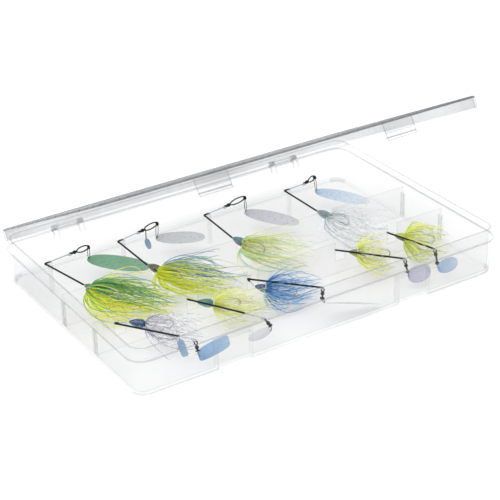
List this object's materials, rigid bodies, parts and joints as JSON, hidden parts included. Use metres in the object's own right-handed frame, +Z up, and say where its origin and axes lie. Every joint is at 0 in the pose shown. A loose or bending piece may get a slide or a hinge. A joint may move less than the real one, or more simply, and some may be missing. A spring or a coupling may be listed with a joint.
{
  "type": "fishing tackle box",
  "caption": "Shallow clear utility box with a hinged lid, snap latches and slotted racks, stocked with wire-arm blade lures.",
  "frame": {"origin": "bottom centre of the whole box as it stands, lid part open", "axes": "+Z up, X along the long side, -Y towards the latches, +Y towards the hinge"},
  "size_m": [0.3604, 0.2423, 0.1562],
  "materials": {
    "clear_polypropylene": "clear, slightly milky, smooth moulded",
    "black_wire": "black stainless wire, satin",
    "black_nickel": "black nickel plating",
    "lure_1_head_paint": "glossy paint on lead",
    "lure_1_skirt_silicone": "translucent silicone strands",
    "lure_1_blade_plate": "plated and lacquered",
    "lure_2_head_paint": "glossy paint on lead",
    "lure_2_skirt_silicone": "translucent silicone strands",
    "lure_2_blade_plate": "plated and lacquered",
    "lure_3_head_paint": "glossy paint on lead",
    "lure_3_skirt_silicone": "translucent silicone strands",
    "lure_3_blade_plate": "plated and lacquered",
    "lure_4_head_paint": "glossy paint on lead",
    "lure_4_skirt_silicone": "translucent silicone strands",
    "lure_4_blade_plate": "plated and lacquered",
    "lure_5_head_paint": "glossy paint on lead",
    "lure_5_skirt_silicone": "translucent silicone strands",
    "lure_5_blade_plate": "plated and lacquered",
    "lure_6_head_paint": "glossy paint on lead",
    "lure_6_skirt_silicone": "translucent silicone strands",
    "lure_6_blade_plate": "plated and lacquered",
    "lure_7_head_paint": "glossy paint on lead",
    "lure_7_skirt_silicone": "translucent silicone strands",
    "lure_7_blade_plate": "plated and lacquered",
    "lure_8_head_paint": "glossy paint on lead",
    "lure_8_skirt_silicone": "translucent silicone strands",
    "lure_8_blade_plate": "plated and lacquered",
    "lure_9_head_paint": "glossy paint on lead",
    "lure_9_skirt_silicone": "translucent silicone strands",
    "lure_9_blade_plate": "plated and lacquered"
  },
  "bodies": {
    "tray": {"tray": "clear_polypropylene", "rack_front": "clear_polypropylene", "rack_middle": "clear_polypropylene", "lure_1_wire": "black_wire", "lure_1_head": "lure_1_head_paint", "lure_1_skirt": "lure_1_skirt_silicone", "lure_1_hook": "black_nickel", "lure_1_swivel": "black_nickel", "lure_1_blade": "lure_1_blade_plate", "lure_2_wire": "black_wire", "lure_2_head": "lure_2_head_paint", "lure_2_skirt": "lure_2_skirt_silicone", "lure_2_hook": "black_nickel", "lure_2_swivel": "black_nickel", "lure_2_blade": "lure_2_blade_plate", "lure_3_wire": "black_wire", "lure_3_head": "lure_3_head_paint", "lure_3_skirt": "lure_3_skirt_silicone", "lure_3_hook": "black_nickel", "lure_3_swivel": "black_nickel", "lure_3_blade": "lure_3_blade_plate", "lure_4_wire": "black_wire", "lure_4_head": "lure_4_head_paint", "lure_4_skirt": "lure_4_skirt_silicone", "lure_4_hook": "black_nickel", "lure_4_swivel": "black_nickel", "lure_4_blade": "lure_4_blade_plate", "lure_5_wire": "black_wire", "lure_5_head": "lure_5_head_paint", "lure_5_skirt": "lure_5_skirt_silicone", "lure_5_hook": "black_nickel", "lure_5_swivel": "black_nickel", "lure_5_blade": "lure_5_blade_plate", "lure_6_wire": "black_wire", "lure_6_head": "lure_6_head_paint", "lure_6_skirt": "lure_6_skirt_silicone", "lure_6_hook": "black_nickel", "lure_6_swivel": "black_nickel", "lure_6_blade": "lure_6_blade_plate", "lure_7_wire": "black_wire", "lure_7_head": "lure_7_head_paint", "lure_7_skirt": "lure_7_skirt_silicone", "lure_7_hook": "black_nickel", "lure_7_swivel": "black_nickel", "lure_7_blade": "lure_7_blade_plate", "lure_8_wire": "black_wire", "lure_8_head": "lure_8_head_paint", "lure_8_skirt": "lure_8_skirt_silicone", "lure_8_hook": "black_nickel", "lure_8_swivel": "black_nickel", "lure_8_blade": "lure_8_blade_plate", "lure_9_wire": "black_wire", "lure_9_head": "lure_9_head_paint", "lure_9_skirt": "lure_9_skirt_silicone", "lure_9_hook": "black_nickel", "lure_9_swivel": "black_nickel", "lure_9_blade": "lure_9_blade_plate"},
    "lid": {"lid": "clear_polypropylene"},
    "latch_left": {"latch_left": "clear_polypropylene"},
    "latch_right": {"latch_right": "clear_polypropylene"}
  },
  "joints": [
    {"name": "lid_hinge", "type": "hinge", "parent": "tray", "child": "lid", "pos_m": [0, 0.1183, 0.033], "axis": [-1, 0, 0], "range_deg": [-28, 140]},
    {"name": "latch_left_flex", "type": "hinge", "parent": "lid", "child": "latch_left", "pos_m": [-0.0889, -0.08911, 0.15574], "axis": [-1, 0, 0], "range_deg": [-9, 60]},
    {"name": "latch_right_flex", "type": "hinge", "parent": "lid", "child": "latch_right", "pos_m": [0.0889, -0.08911, 0.15574], "axis": [-1, 0, 0], "range_deg": [-9, 60]}
  ]
}
